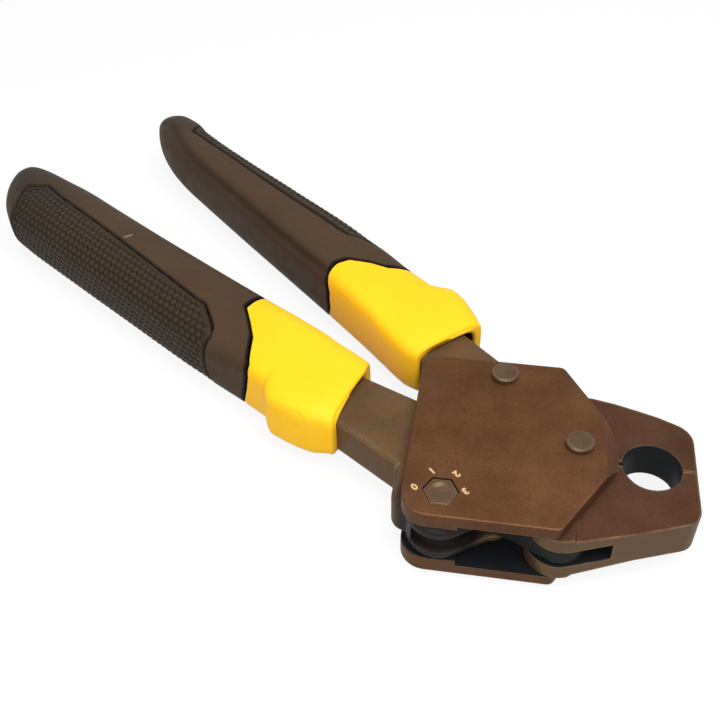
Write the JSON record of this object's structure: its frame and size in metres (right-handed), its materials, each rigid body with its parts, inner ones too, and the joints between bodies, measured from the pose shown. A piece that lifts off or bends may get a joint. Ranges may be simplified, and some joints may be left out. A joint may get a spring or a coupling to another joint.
{
  "type": "pex crimp ring tool",
  "caption": "Hand crimping tool with a round die split between a fixed and a hinged jaw, two side plates, a toggle link driven by the lower handle, and two moulded handle grips.",
  "frame": {"origin": "middle of the bottom of the bounding box", "axes": "+X along the tool towards the jaw tips, square to the plates' rear edge; +Y from the moving lower jaw to the fixed upper jaw; +Z along the bore and the pivots, out of the side plate with the hexagon socket"},
  "size_m": [0.2838, 0.23, 0.031],
  "materials": {
    "plate_steel": "brown oxide coat",
    "jaw_steel": "brown oxide coat, forged",
    "bar_steel": "brown oxide coat",
    "pin_steel": "satin",
    "yellow_plastic": "satin moulded",
    "dark_plastic": "smooth moulded",
    "panel_rubber": "textured"
  },
  "bodies": {
    "frame": {"adjusting_pin": "pin_steel", "handle_rivet": "pin_steel", "jaw_pivot_rivet": "pin_steel", "lower_side_plate": "plate_steel", "pin_retaining_ring": "pin_steel", "upper_collar": "yellow_plastic", "upper_fork_pin": "pin_steel", "upper_grip": "dark_plastic", "upper_grip_panel": "panel_rubber", "upper_handle_bar": "bar_steel", "upper_jaw": "jaw_steel", "upper_side_plate": "plate_steel"},
    "lower_handle": {"lower_handle_bar": "bar_steel", "knee_pin": "pin_steel", "lower_collar": "yellow_plastic", "lower_grip": "dark_plastic", "lower_grip_panel": "panel_rubber"},
    "toggle_link": {"toggle_link": "jaw_steel"},
    "lower_jaw": {"lower_jaw": "jaw_steel", "lower_fork_pin": "pin_steel"}
  },
  "joints": [
    {"name": "lower_handle_pivot", "type": "hinge", "parent": "frame", "child": "lower_handle", "pos_m": [0.06554, -0.1048, 0.0155], "axis": [0, 0, 1], "range_deg": [0, 48]},
    {"name": "knee_pivot", "type": "hinge", "parent": "lower_handle", "child": "toggle_link", "pos_m": [0.07899, -0.0968, 0.0155], "axis": [0, 0, 1], "range_deg": [-57.22, 0]},
    {"name": "lower_jaw_pivot", "type": "hinge", "parent": "frame", "child": "lower_jaw", "pos_m": [0.10544, -0.0804, 0.0155], "axis": [0, 0, 1], "range_deg": [-27.46, 0]}
  ],
  "couplings": [
    {"joint": "lower_jaw_pivot", "follows": "lower_handle_pivot", "ratio": -0.57},
    {"joint": "knee_pivot", "follows": "lower_handle_pivot", "ratio": -1.19}
  ]
}
